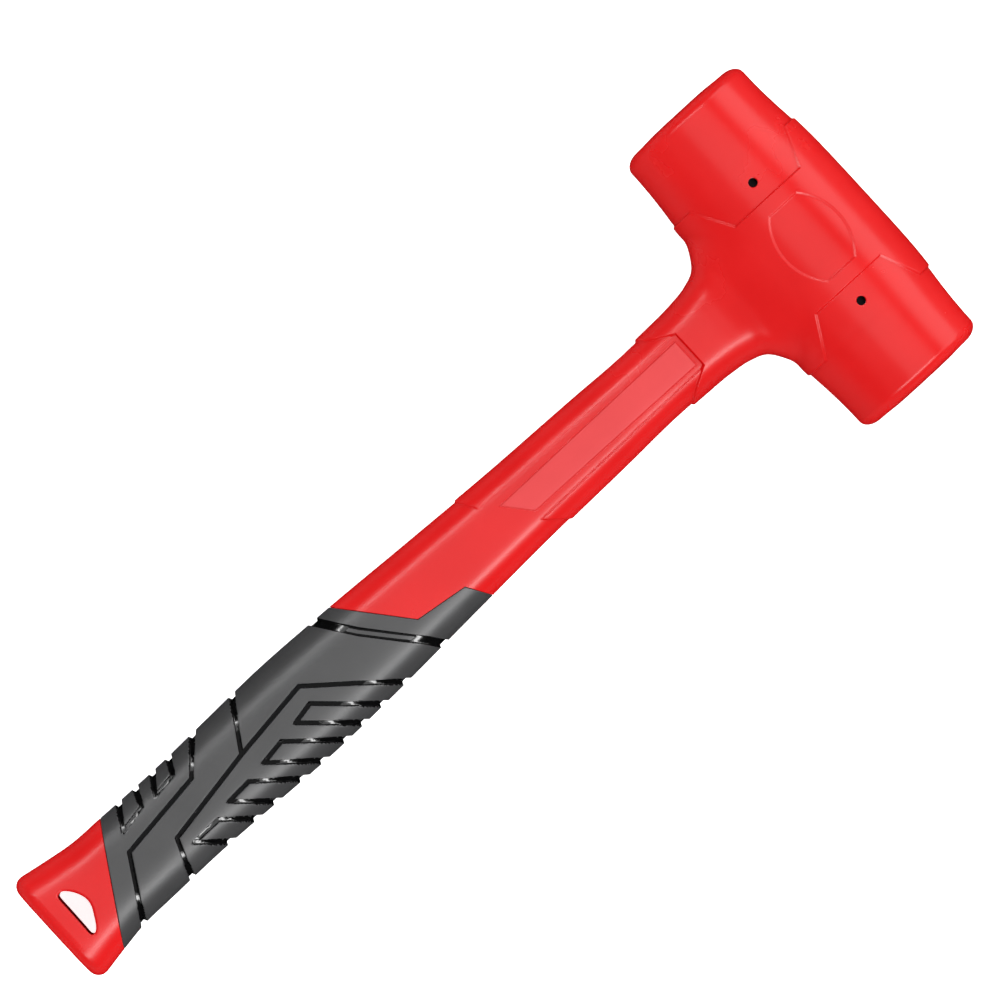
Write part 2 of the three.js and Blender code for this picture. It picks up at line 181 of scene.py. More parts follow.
HANG_HOLE = rounded_loop(
    [
        (-287.6, -7.2), (-286.9, -7.9), (-285.8, -7.7), (-284.5, -6.4), (-283.0, -3.9), (-281.8, -1.6),
        (-281.4, 0.4), (-281.7, 2.4), (-282.8, 4.8), (-284.4, 6.8), (-285.6, 7.5), (-286.9, 7.3),
        (-287.4, 6.4), (-287.45, 3), (-287.5, -1), (-287.58, -5),
    ],
    2,
)
GRIP_TOP_EDGE = [(-176, FAR), (-176, 20.4), (-155.6, -4.4), (-139.1, -6.7), (-131, -20.4), (-131, -FAR)]
GRIP_BOTTOM_EDGE = [(-297.5, -40), (-286, -21.5), (-260.2, 20), (-247.8, 40)]
GRIP_OUTLINE = GRIP_TOP_EDGE + GRIP_BOTTOM_EDGE
CHANNEL = (1.15, [(-181.5, 20), (-170.6, 4.6), (-157.3, -11.2), (-151, -20)])  # half-width, path
GROOVE_HALF_WIDTH = 0.65
GLINT_ZONE = (7.6, 11.6)  # how far across the handle the grooves' painted-shade black is polished, where its sides turn
GROOVE_END_WIDENING = 0.25
GROOVE_END_STARTS = 11.5  # how far across the handle
GROOVE_PATHS = [
    [(-164, -21), (-181.6, -5.6), (-194.2, 4.8), (-219.5, 1.5), (-250.1, -3.8), (-257, -21)],
    [(-208, 20), (-219.7, 1.7)],
    [(-222.5, 20), (-235.3, 6.2), (-263.1, 2.6), (-276.5, -19.5)],
    [(-174, -21), (-195.2, -1.1), (-202.1, -2.4), (-182, -21)],
    [(-189, -21), (-208.8, -3.6), (-216.7, -4.7), (-198, -21)],
    [(-205.5, -21), (-223.6, -5.8), (-231.7, -6.2), (-216, -21)],
    [(-223, -21), (-237.6, -8), (-247.2, -8.2), (-233, -21)],
    [(-234, 20), (-238.5, 10.8), (-246.5, 9.6), (-239.5, 20)],
    [(-247.5, 20), (-251.5, 10), (-260.4, 8.2), (-253, 20)],
]


def widened_ends(path):
    """The outer stretches of a groove's path, where it runs off the handle's sides."""
    ends = []
    for (x1, y1), (x2, y2) in ((path[0], path[1]), (path[-1], path[-2])):
        if abs(y1) > GROOVE_END_STARTS > abs(y2):
            t = (abs(y1) - GROOVE_END_STARTS) / (abs(y1) - y2 * math.copysign(1, y1))
            ends.append([(x1, y1), (x1 + (x2 - x1) * t, y1 + (y2 - y1) * t)])
    return ends


GROOVES = [(GROOVE_HALF_WIDTH, path) for path in GROOVE_PATHS] + [
    (GROOVE_HALF_WIDTH + GROOVE_END_WIDENING, end) for path in GROOVE_PATHS for end in widened_ends(path)
]

# ---- Materials ----


def added(tree, kind, inputs=(), **settings):
    """A node with its settings and the values or links of its inputs."""
    node = tree.nodes.new(kind)
    for key, value in settings.items():
        setattr(node, key, value)
    for key, value in dict(inputs).items():
        if isinstance(value, bpy.types.NodeSocket):
            tree.links.new(value, node.inputs[key])
        else:
            node.inputs[key].default_value = value
    return node


def surface_group():
    """Moulded or worked surface: a fine grain for bump and a slow mottle, sized in millimetres."""
    tree = bpy.data.node_groups.new("surface_grain", "ShaderNodeTree")
    interface = tree.interface
    for name, value in (("Grain Size", 0.5), ("Mottle Size", 18.0), ("Stretch", 1.0)):
        interface.new_socket(name, in_out="INPUT", socket_type="NodeSocketFloat").default_value = value
    for name in ("Grain", "Mottle"):
        interface.new_socket(name, in_out="OUTPUT", socket_type="NodeSocketFloat")
    entry = added(tree, "NodeGroupInput")
    leave = added(tree, "NodeGroupOutput")
    place = added(tree, "ShaderNodeTexCoord").outputs["Object"]
    stretched = added(tree, "ShaderNodeCombineXYZ", {"X": 1.0, "Y": entry.outputs["Stretch"], "Z": 1.0})
    place = added(
        tree, "ShaderNodeVectorMath", {0: place, 1: stretched.outputs[0]}, operation="MULTIPLY"
    ).outputs[0]
    for name, detail in (("Grain", 2.0), ("Mottle", 4.0)):
        scale = added(tree, "ShaderNodeMath", {0: 1 / MM, 1: entry.outputs[name + " Size"]}, operation="DIVIDE")
        noise = added(
            tree, "ShaderNodeTexNoise", {"Vector": place, "Scale": scale.outputs[0], "Detail": detail}
        )
        tree.links.new(noise.outputs["Fac"], leave.inputs[name])
    return tree


SURFACE = surface_group()


def finished(name, colours, roughness, grain, bump, specular=0.5, metallic=0.0, mask=None, stretch=1.0):
    """A material whose colour and roughness each run between two values over its mottle.

    With a mask, colours and roughness hold a second pair for where the mask is 1.
    """
    material = bpy.data.materials.new(name)
    material.use_nodes = True
    tree = material.node_tree
    shader = tree.nodes["Principled BSDF"]
    shader.inputs["Specular IOR Level"].default_value = specular
    shader.inputs["Metallic"].default_value = metallic
    surface = added(tree, "ShaderNodeGroup", node_tree=SURFACE)
    for key, value in {"Grain Size": grain[0], "Mottle Size": grain[1], "Stretch": stretch}.items():
        surface.inputs[key].default_value = value
    mottle = added(
        tree, "ShaderNodeMapRange",
        {"Value": surface.outputs["Mottle"], "From Min": 0.15, "From Max": 0.85},
    ).outputs["Result"]

    def mixed(kind, factor, low, high):
        names = {"RGBA": ("A_Color", "B_Color"), "FLOAT": ("A_Float", "B_Float")}[kind]
        mix = added(tree, "ShaderNodeMix", data_type=kind)
        sockets = {socket.identifier: socket for socket in mix.inputs}
        for socket, value in zip((sockets[n] for n in names), (low, high)):
            if isinstance(value, bpy.types.NodeSocket):
                tree.links.new(value, socket)
            else:
                socket.default_value = (*value, 1) if kind == "RGBA" else value
        tree.links.new(factor, sockets["Factor_Float"])
        return {socket.identifier: socket for socket in mix.outputs}["Result_" + names[0][2:]]

    pairs = [(mixed("RGBA", mottle, *c), mixed("FLOAT", mottle, *r)) for c, r in zip(colours, roughness)]
    colour, rough = pairs[0]
    if mask:
        over = added(tree, "ShaderNodeAttribute", attribute_name=mask).outputs["Fac"]
        colour = mixed("RGBA", over, colour, pairs[1][0])
        rough = mixed("FLOAT", over, rough, pairs[1][1])
    tree.links.new(colour, shader.inputs["Base Color"])
    tree.links.new(rough, shader.inputs["Roughness"])
    relief = added(
        tree, "ShaderNodeBump", {"Height": surface.outputs["Grain"], "Strength": bump[0], "Distance": bump[1] * MM}
    )
    tree.links.new(relief.outputs["Normal"], shader.inputs["Normal"])
    return material


# The second pair, for the pad, is rougher and lighter pink: the roughness is its frosting, the lighter colour is
# painted sheen.
RED = finished(
    "red_polyurethane",
    colours=[((0.43, 0.0010, 0.0013), (0.50, 0.0014, 0.0018)), ((0.46, 0.018, 0.020), (0.52, 0.024, 0.026))],
    roughness=[(0.24, 0.29), (0.44, 0.5)],
    grain=(0.45, 22.0),
    bump=(0.25, 0.02),
    mask="pad_frost_and_sheen",
)
CHARCOAL = finished(
    "charcoal_rubber",
    colours=[((0.026, 0.026, 0.027), (0.038, 0.038, 0.039))],
    roughness=[(0.36, 0.42)],
    grain=(0.35, 16.0),
    bump=(0.3, 0.02),
    specular=1.0,
)
# Near-black painted shade for the grooves, standing in for the dark of their recesses.
GROOVE_PAINTED_SHADE = finished(
    "groove_painted_shade",
    colours=[((0.0015, 0.0015, 0.0016), (0.0030, 0.0030, 0.0031))],
    roughness=[(0.08, 0.14)],
    grain=(0.35, 16.0),
    bump=(0.05, 0.02),
    specular=0.14,
)
# The same painted-shade black, with a higher specular where the grip's sides turn.
GROOVE_POLISHED_SHADE = finished(
    "groove_polished_shade",
    colours=[((0.0015, 0.0015, 0.0016), (0.0030, 0.0030, 0.0031))],
    roughness=[(0.10, 0.16)],
    grain=(0.35, 16.0),
    bump=(0.05, 0.02),
    specular=1.0,
)
STEELS = {
    "canister_steel": finished(
        "canister_steel",
        colours=[((0.016, 0.017, 0.019), (0.034, 0.034, 0.036))],
        roughness=[(0.38, 0.55)],
        grain=(0.25, 9.0),
        bump=(0.3, 0.02),
        metallic=1.0,
        stretch=6.0,
    ),
    "rod_steel": finished(
        "rod_steel",
        colours=[((0.16, 0.165, 0.175), (0.27, 0.265, 0.26))],
        roughness=[(0.42, 0.6)],
        grain=(0.6, 5.0),
        bump=(0.5, 0.05),
        metallic=1.0,
    ),
    "shot_steel": finished(
        "shot_steel",
        colours=[((0.52, 0.53, 0.55), (0.42, 0.43, 0.45))],
        roughness=[(0.14, 0.26)],
        grain=(0.3, 3.0),
        bump=(0.15, 0.02),
        metallic=1.0,
    ),
}
FLOOR_WHITE = finished(
    "floor_white",
    colours=[((0.90, 0.90, 0.90), (0.92, 0.92, 0.92))],
    roughness=[(0.85, 0.95)],
    grain=(2.0, 400.0),
    bump=(0.0, 0.02),
    specular=0.2,
)


# ---- The smooth blank ----


def ease(t):
    """0 below 0, 1 above 1, and a smooth rise between."""
    t = np.clip(t, 0, 1)
    return t * t * (3 - 2 * t)


def smooth_table(x, column):
    """A smooth curve through one column of the handle's table."""
    stations = np.array(HANDLE)
    xs, values = stations[:, 0], stations[:, column]
    slopes = np.gradient(values, xs)
    i = np.clip(np.searchsorted(xs, x) - 1, 0, len(xs) - 2)
    span = xs[i + 1] - xs[i]
    t = np.clip((x - xs[i]) / span, 0, 1)
    rise = values[i] * (2 * t**3 - 3 * t**2 + 1) + values[i + 1] * (3 * t**2 - 2 * t**3)
    return rise + span * (slopes[i] * (t**3 - 2 * t**2 + t) + slopes[i + 1] * (t**3 - t**2))


def band_radius(y):
    outward = np.minimum(abs(y) / BAND_HALF_WIDTH, 1)
    return BAND_RADIUS - (BAND_RADIUS - BAND_EDGE_RADIUS) * outward**4


def core_radius(y):
    """The head's radius without its band: end sections that flare, then run on under the band."""
    flare = END_RADIUS + END_FLARE * ((RIM_START - abs(y)) / END_FLARE_LENGTH) ** 2
    tongue = band_radius(y) - BAND_PROUD
    mix = np.clip(0.5 + 0.5 * (tongue - flare) / TONGUE_BLEND, 0, 1)
    return tongue + (flare - tongue) * mix - TONGUE_BLEND * mix * (1 - mix)


def head_distance(p):
    """Roughly how far a point is outside the head, without its band."""
    radius = np.hypot(p[:, 0], p[:, 2])
    from_middle = abs(p[:, 1])
    rim_radius = END_RADIUS - RIM_WIDTH
    rim_height = HEAD_HALF_LENGTH - FACE_CROWN - RIM_START
    out = radius - rim_radius
    up = from_middle - RIM_START
    crown = FACE_CROWN * (1 - ease((radius - FACE_FLAT_RADIUS) / (rim_radius - FACE_FLAT_RADIUS)))
    side = radius - core_radius(np.minimum(from_middle, RIM_START))
    face = up - rim_height - crown
    ring = np.hypot(out / RIM_WIDTH, up / rim_height) + 1e-9
    slope = np.hypot(out / RIM_WIDTH**2, up / rim_height**2) / ring
    rim = (ring - 1) / np.maximum(slope, 1e-3)
    return np.where(up <= 0, side, np.where(out <= 0, face, rim))


def in_neck(p):
    """0 on the shaft, rising to 1 in the neck."""
    return ease((p[:, 0] - NECK_START_X) / NECK_RUN)


def handle_distance(p):
    """Roughly how far a point is outside the handle."""
    neck = COLLAR_PROUD * in_neck(p)
    half_width = smooth_table(p[:, 0], 1) + neck
    half_thickness = smooth_table(p[:, 0], 2) + neck
    across = abs(p[:, 1]) / half_width
    through = abs(p[:, 2]) / half_thickness
    level = (across**SECTION_POWER + through**SECTION_POWER) ** (1 / SECTION_POWER) + 1e-6
    pull = level ** (1 - SECTION_POWER)
    slope = np.hypot(
        pull * across ** (SECTION_POWER - 1) / half_width,
        pull * through ** (SECTION_POWER - 1) / half_thickness,
    )
    side = (level - 1) / np.maximum(slope, 0.02)
    end = np.maximum(BUTT_X - p[:, 0], p[:, 0] - HANDLE_ROOT_X)
    rounded = np.hypot(np.maximum(POMMEL_ROUNDING + side, 0), np.maximum(POMMEL_ROUNDING + end, 0))
    return np.minimum(np.maximum(side, end), -POMMEL_ROUNDING) + rounded


def blank_distance(p):
    """Roughly how far a point is outside the blank: head and handle, filleted together."""
    head, handle = head_distance(p), handle_distance(p)
    hollow = np.hypot(np.maximum(NECK_FILLET - head, 0), np.maximum(NECK_FILLET - handle, 0))
    return np.maximum(np.minimum(head, handle), NECK_FILLET) - hollow


def gradient(field, p, step=0.02):
    columns = []
    for axis in range(3):
        shift = np.zeros(3)
        shift[axis] = step
        columns.append((field(p + shift) - field(p - shift)) / (2 * step))
    return np.stack(columns, 1)


def onto_blank(p, rounds=8):
    """Points moved onto the blank's surface, and the surface's normals there."""
    for _ in range(rounds):
        slope = gradient(blank_distance, p)
        length = np.maximum((slope**2).sum(1), 0.05)
        step = np.clip(blank_distance(p) / length, -1, 1)
        p = p - step[:, None] * slope
    normal = gradient(blank_distance, p)
    return p, normal / np.linalg.norm(normal, axis=1)[:, None]


def vertex_array(bm):
    return np.array([v.co[:] for v in bm.verts])


def move_vertices(bm, places):
    for vertex, place in zip(bm.verts, places):
        vertex.co = place


def rough_handle(bm):
    """A round bar cut into rings, each then drawn out to the handle's section."""
    start, end = BUTT_X, ROUGH_HANDLE_END_X
    bar(bm, 1, start, end, "X")
    for i in range(1, ROUGH_RINGS):
        place = start + (end - start) * i / ROUGH_RINGS
        parts = bm.verts[:] + bm.edges[:] + bm.faces[:]
        bmesh.ops.bisect_plane(bm, geom=parts, dist=1e-5, plane_co=(place, 0, 0), plane_no=(1, 0, 0))
    p = vertex_array(bm)
    squared = np.sign(p) * abs(p) ** (2 / SECTION_POWER)
    for axis in (1, 2):
        p[:, axis] = squared[:, axis] * (smooth_table(p[:, 0], axis) - ROUGH_INSET)
    move_vertices(bm, p)


def rough_head(bm):
    end = HEAD_HALF_LENGTH - ROUGH_INSET
    bar(bm, ROUGH_HEAD_RADIUS, -end, end, "Y", segments=64)


def applied(bm, name, *modifiers):
    """The bmesh with modifiers applied, given as (type, values) pairs."""
    mesh = bpy.data.meshes.new(name)
    bm.to_mesh(mesh)
    bm.free()
    piece = bpy.data.objects.new(name, mesh)
    SCENE.collection.objects.link(piece)
    for kind, values in modifiers:
        modifier = piece.modifiers.new(kind, kind)
        for key, value in values.items():
            setattr(modifier, key, value)
    graph = bpy.context.evaluated_depsgraph_get()
    made = bmesh.new()
    made.from_object(piece, graph)
    bpy.data.objects.remove(piece)
    bpy.data.meshes.remove(mesh)
    return made


def blank():
    """The mallet as one smooth skin of small, even faces."""
    bm = bmesh.new()
    rough_handle(bm)
    rough_head(bm)
    bm = applied(bm, "blank", ("REMESH", {"mode": "VOXEL", "voxel_size": BLANK_CELL}))
    places, _ = onto_blank(vertex_array(bm))
    move_vertices(bm, places)
    return bm


# ---- Outlines on the skin ----


def path_distance(xy, path, closed=False):
    """How far each point is from a path in the XY plane."""
    points = np.array(path, float)
    starts = points if closed else points[:-1]
    ends = np.roll(points, -1, 0) if closed else points[1:]
    best = np.full(len(xy), np.inf)
    for start, end in zip(starts, ends):
        along = end - start
        t = np.clip((xy - start) @ along / (along @ along), 0, 1)
        best = np.minimum(best, np.linalg.norm(xy - start - t[:, None] * along, axis=1))
    return best


def inside(xy, outline):
    """Which points are inside a closed outline."""
    result = np.zeros(len(xy), bool)
    x, y = xy[:, 0], xy[:, 1]
    for (x1, y1), (x2, y2) in zip(outline, outline[1:] + outline[:1]):
        if y1 == y2:
            continue
        crosses = (y1 > y) != (y2 > y)
        result ^= crosses & (x < (x2 - x1) * (y - y1) / (y2 - y1) + x1)
    return result


def depth_inside(xy, outline):
    """How far each point is inside an outline, negative outside."""
    distance = path_distance(xy, outline, closed=True)
    return np.where(inside(xy, outline), distance, -distance)


def straddles(face, origin, normal, direction, reach, offset):
    """Whether a face crosses a line beside a segment, within the segment's reach."""
    sides, places = [], []
    for vertex in face.verts:
        x, y = vertex.co.x - origin[0], vertex.co.y - origin[1]
        sides.append(x * normal[0] + y * normal[1] - offset)
        places.append(x * direction[0] + y * direction[1])
    return min(sides) < -1e-4 and max(sides) > 1e-4 and min(places) < reach[1] and max(places) > reach[0]


def score(bm, path, offsets, closed=False):
    """Cuts edges through the skin along lines beside a path, at each offset."""
    ends = list(zip(path, path[1:] + path[:1])) if closed else list(zip(path, path[1:]))
    widest = max(abs(o) for o in offsets) + 3 * BLANK_CELL
    low, high = np.min(path, 0) - widest, np.max(path, 0) + widest
    corners = np.array([f.verts[0].co[:2] for f in bm.faces])
    boxed = ((corners > low) & (corners < high)).all(1)
    pool = {f for f, close in zip(bm.faces, boxed) if close}
    for (x1, y1), (x2, y2) in ends:
        length = math.hypot(x2 - x1, y2 - y1)
        direction = ((x2 - x1) / length, (y2 - y1) / length)
        normal = (-direction[1], direction[0])
        faces = list(pool)
        corners = np.array([f.verts[0].co[:2] for f in faces]) - (x1, y1)
        beside, place = abs(corners @ normal), corners @ direction
        close = (beside < widest) & (place > -widest) & (place < length + widest)
        near = {faces[i] for i in np.flatnonzero(close)}
        for offset in offsets:
            reach = (-abs(offset), length + abs(offset))
            faces = [f for f in near if straddles(f, (x1, y1), normal, direction, reach, offset)]
            if not faces:
                continue
            edges = {e for f in faces for e in f.edges}
            verts = {v for f in faces for v in f.verts}
            point = (x1 + offset * normal[0], y1 + offset * normal[1], 0)
            made = bmesh.ops.bisect_plane(
                bm, geom=[*faces, *edges, *verts], dist=1e-4, plane_co=point, plane_no=(*normal, 0)
            )
            parts = [g for g in made["geom"] if isinstance(g, bmesh.types.BMFace)]
            near.update(parts)
            pool.update(parts)


def wall_lines(width, support=0.5):
    """Offsets across a step: its wall in four strips, with a line clear of it on each side."""
    half = width / 2
    return [-half - support, -half, -half / 2, 0, half / 2, half, half + support]


# ---- Raised and sunk surfaces ----

STEP_WALL = 0.7
MEDALLION_WALL = 0.9
GROOVE_WALL = 0.4
HOLE_ROUNDING = 0.8
PIN_ROUNDING = 0.35
SEAM_WALL = 0.15
SEAM_SUPPORT = 0.06
GRIP_EDGE_ROUNDING, GRIP_EDGE_MIDDLE = 0.25, 0.12  # radius, and where a line is scored within it
GROOVE_SUPPORT = 0.6  # how far from a groove's edge a line is scored to hold the skin flat
CHANNEL_LINE = 0.6  # width of the line of painted shade, black, along each side of the channel's floor


def step(xy, outline, width=STEP_WALL):
    """1 inside an outline, 0 outside, with a wall between them."""
    return ease(depth_inside(xy, outline) / width + 0.5)


def rounding(distance, radius):
    """How far a surface falls towards an edge that is rounded to a radius."""
    left = np.clip(radius - distance, 0, radius)
    return radius - np.sqrt(radius**2 - left**2)


def pin_distance(xy):
    return np.min([np.hypot(xy[:, 0] - x, xy[:, 1] - y) for x, y in MOULD_PINS], 0) - MOULD_PIN_RADIUS


def casing_height(p):
    """How far the casing's surface is above the blank at points of the blank."""
    xy = p[:, :2]
    clear_of_neck = ease(handle_distance(p) / BAND_FADE)
    proud = np.maximum(band_radius(p[:, 1]) - core_radius(p[:, 1]), 0)
    band = clear_of_neck * proud * step(xy, BAND_OUTLINE)
    medallion = MEDALLION_DEPTH * step(xy, MEDALLION_OUTLINE, MEDALLION_WALL)
    on_shaft = 1 - in_neck(p)
    collar = COLLAR_PROUD * on_shaft * step(xy, COLLAR_OUTLINE)
    rails = RAIL_PROUD * np.maximum(*(step(xy, outline) for outline in RAIL_OUTLINES))
    pad = PAD_PROUD * step(xy, PAD_OUTLINE)
    shaft = np.maximum.reduce([collar, rails * on_shaft, pad * on_shaft])
    hole = rounding(-depth_inside(xy, HANG_HOLE), HOLE_ROUNDING)
    pins = rounding(pin_distance(xy), PIN_ROUNDING)
    under_grip = ease(depth_inside(xy, GRIP_OUTLINE) / SEAM_WALL + 1)
    return band - medallion + shaft - hole - pins - (GRIP_THICKNESS + FIT) * under_grip


def pad_mask(p):
    """1 on the handle's pad, which is frosted and rougher, and lighter pink as painted sheen."""
    return step(p[:, :2], PAD_OUTLINE) * (1 - in_neck(p))


def floors(xy, grooves):
    """1 on the floor of grooves and 0 clear of them."""
    half_wall = GROOVE_WALL / 2
    depths = [1 - ease((path_distance(xy, path) - half + half_wall) / GROOVE_WALL) for half, path in grooves]
    return np.max(depths, 0)


def groove_shade_mask(p):
    """1 where the grip's grooves are painted black as shade: their floors, and the channel's sides and ends."""
    xy = p[:, :2]
    half, path = CHANNEL
    beside = path_distance(xy, path)
    channel_side_shade = (beside > half - CHANNEL_LINE) & (beside < half + GROOVE_WALL / 2)
    channel_end_shade = (beside < half) & (abs(xy[:, 1]) > GLINT_ZONE[0])
    return np.maximum.reduce([floors(xy, GROOVES), channel_side_shade, channel_end_shade])


def grip_height(p):
    xy = p[:, :2]
    edge = rounding(depth_inside(xy, GRIP_OUTLINE), GRIP_EDGE_ROUNDING)
    return -np.maximum(GROOVE_DEPTH * floors(xy, GROOVES), CHANNEL_DEPTH * floors(xy, [CHANNEL])) - edge


def raise_skin(bm, height):
    """Moves the skin off the blank by a height, and keeps where it was and how it leans."""
    layers = bm.verts.layers.float_vector
    rest, out, shade = (layers.new(name) for name in ("rest", "out", "shade"))
    places, normals = onto_blank(vertex_array(bm), rounds=3)
    heights = height(places)
    slope = gradient(height, places, step=0.01)
    slope[:, 2] = 0
    slope -= (slope * normals).sum(1)[:, None] * normals
    lean = normals - slope
    lean /= np.linalg.norm(lean, axis=1)[:, None]
    move_vertices(bm, places + heights[:, None] * normals)
    for vertex, place, normal, direction in zip(bm.verts, places, normals, lean):
        vertex[rest], vertex[out], vertex[shade] = place, normal, direction
    return places


def tidy_faces(bm):
    """Slivers merged and every face a triangle."""
    bmesh.ops.dissolve_degenerate(bm, edges=bm.edges, dist=0.03)
    bmesh.ops.triangulate(bm, faces=bm.faces, quad_method="BEAUTY", ngon_method="BEAUTY")


# ---- Pieces ----


def piece_from(bm, name, body, material):
    """A completed piece: in the row's frame, on its body, with its material."""
    bmesh.ops.transform(bm, matrix=TO_ROW, verts=bm.verts)
    mesh = bpy.data.meshes.new(name)
    bm.to_mesh(mesh)
    bm.free()
    mesh.materials.append(material)
    mesh.polygons.foreach_set("use_smooth", [True] * len(mesh.polygons))
    piece = bpy.data.objects.new(name, mesh)
    SCENE.collection.objects.link(piece)
    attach(piece, body)
    return piece


def lean_corners(piece, fold=35):
    """Gives each corner the direction kept for it, or its own smooth normal where none fits."""
    mesh = piece.data
    mesh.set_sharp_from_angle(angle=math.radians(fold))
    loops = len(mesh.loops)
    owner = np.empty(loops, int)
    mesh.loops.foreach_get("vertex_index", owner)
    kept = np.empty(len(mesh.vertices) * 3)
    mesh.attributes["shade"].data.foreach_get("vector", kept)
    kept = kept.reshape(-1, 3) @ np.array(TURN).T
    kept = kept[owner]
    own = np.empty(loops * 3)
    mesh.corner_normals.foreach_get("vector", own)
    own = own.reshape(-1, 3)
    flat = np.empty(len(mesh.polygons) * 3)
    mesh.polygons.foreach_get("normal", flat)
    flat = np.repeat(flat.reshape(-1, 3), 3, 0)
    length = np.linalg.norm(kept, axis=1)
    fits = (length > 0.9) & ((kept * flat).sum(1) > 0.35)
    mesh.normals_split_custom_set(np.where(fits[:, None], kept, own))
    for name in ("rest", "out", "shade"):
        mesh.attributes.remove(mesh.attributes[name])


def bar(bm, radius, start, end, axis, centre=(0, 0, 0), segments=32):
    """A round bar between two places along an axis."""
    turn = {"X": ("Y", 0), "Y": ("X", 1), "Z": (None, 2)}[axis]
    middle = Vector(centre)
    middle[turn[1]] = (start + end) / 2
    spin = Matrix.Rotation(math.pi / 2, 4, turn[0]) if turn[0] else Matrix.Identity(4)
    bmesh.ops.create_cone(
        bm, cap_ends=True, segments=segments, radius1=radius, radius2=radius, depth=abs(end - start),
        matrix=Matrix.Translation(middle) @ spin,
    )


def tool_from(bm, name):
    mesh = bpy.data.meshes.new(name)
    bm.to_mesh(mesh)
    bm.free()
    tool = bpy.data.objects.new(name, mesh)
    SCENE.collection.objects.link(tool)
    return tool


def cut_with(bm, tools):
    """The bmesh with tools cut from it in turn."""
    for build in tools:
        cutter = bmesh.new()
        build(cutter)
        tool = tool_from(cutter, "cutter")
        bm = applied(bm, "cut", ("BOOLEAN", {"operation": "DIFFERENCE", "solver": "MANIFOLD", "object": tool}))
        bpy.data.objects.remove(tool)
    return bm


def hang_hole_tool(bm):
    verts = [bm.verts.new((x, y, -FAR)) for x, y in HANG_HOLE]
    base = bm.faces.new(verts)
    raised = bmesh.ops.extrude_face_region(bm, geom=[base])["geom"]
    bmesh.ops.translate(bm, vec=(0, 0, 2 * FAR), verts=[g for g in raised if isinstance(g, bmesh.types.BMVert)])
    bmesh.ops.recalc_face_normals(bm, faces=bm.faces)


def bar_tool(*sizes):
    return lambda bm: bar(bm, *sizes)


PIN_TOOLS = [bar_tool(MOULD_PIN_RADIUS, -FAR, FAR, "Z", (x, y, 0)) for x, y in MOULD_PINS]
HOLLOW_TOOLS = [
    bar_tool(CANISTER_RADIUS + FIT, -CANISTER_HALF_LENGTH - FIT, CANISTER_HALF_LENGTH + FIT, "Y"),
    bar_tool(FOOT_RADIUS + FIT, FOOT_X - FIT, HOLLOW_START_X, "X"),
    bar_tool(POST_RADIUS + FIT, POST_END_X - FIT, HOLLOW_START_X, "X"),
    bar_tool(ROD_RADIUS + FIT, ROD_END_X - FIT, HOLLOW_START_X, "X"),
]


def casing():
    bm = blank()
    for edge in (TONGUE_END, mirrored_in_y(TONGUE_END), COLLAR_EDGE):
        score(bm, edge, wall_lines(STEP_WALL))
    for outline in (*RAIL_OUTLINES, PAD_OUTLINE):
        score(bm, outline, wall_lines(STEP_WALL), closed=True)
    score(bm, MEDALLION_OUTLINE, wall_lines(MEDALLION_WALL), closed=True)
    score(bm, HANG_HOLE, [-0.2, -0.8], closed=True)
    for x, y in MOULD_PINS:
        score(bm, arc((x, y), MOULD_PIN_RADIUS, 0, 345, 23), [-0.12, -0.35], closed=True)
    for edge in (GRIP_TOP_EDGE, GRIP_BOTTOM_EDGE):
        score(bm, edge, [0, SEAM_WALL, SEAM_WALL + SEAM_SUPPORT])
    tidy_faces(bm)
    places = raise_skin(bm, casing_height)
    # The pad's mask: its frosted roughness, and its lighter colour, which is painted sheen.
    pad_frost_and_sheen = bm.verts.layers.float.new("pad_frost_and_sheen")
    for vertex, value in zip(bm.verts, pad_mask(places)):
        vertex[pad_frost_and_sheen] = value
    bm = cut_with(bm, [hang_hole_tool, *PIN_TOOLS, *HOLLOW_TOOLS])
    bmesh.ops.triangulate(bm, faces=bm.faces)
    piece = piece_from(bm, "casing_skin", "mallet", RED)
    lean_corners(piece)
    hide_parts("casing")
    return piece


def grip():
    bm = blank()
    for half, path in [CHANNEL, *GROOVES]:
        lines = [half - GROOVE_WALL / 2, half, half + GROOVE_WALL / 2, half + GROOVE_SUPPORT]
        lines += [half - CHANNEL_LINE] if (half, path) == CHANNEL else []
        score(bm, path, [-o for o in lines] + lines)
    for edge in (GRIP_TOP_EDGE, GRIP_BOTTOM_EDGE):
        score(bm, edge, [0, -GRIP_EDGE_MIDDLE, -GRIP_EDGE_ROUNDING])
    centres = np.array([f.calc_center_median()[:2] for f in bm.faces])
    within = inside(centres, GRIP_OUTLINE)
    outer = [f for f, keep in zip(bm.faces, within) if not keep]
    bmesh.ops.delete(bm, geom=outer, context="FACES")
    tidy_faces(bm)
    raise_skin(bm, grip_height)
    thicken(bm)
    centres = np.array([face.calc_center_median() for face in bm.faces])
    across = abs(centres[:, 1])
    turning = (across > GLINT_ZONE[0]) & (across < GLINT_ZONE[1])
    # Faces in the grooves get the painted-shade black; those where the sides turn get its polished version.
    for face, black, glossy in zip(bm.faces, groove_shade_mask(centres) > 0.5, turning):
        face.material_index = int(black) * (1 + int(glossy))
    piece = piece_from(bm, "grip_sleeve", "mallet", CHARCOAL)
    piece.data.materials.append(GROOVE_PAINTED_SHADE)
    piece.data.materials.append(GROOVE_POLISHED_SHADE)
    lean_corners(piece)
    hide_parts("grip")
    return piece


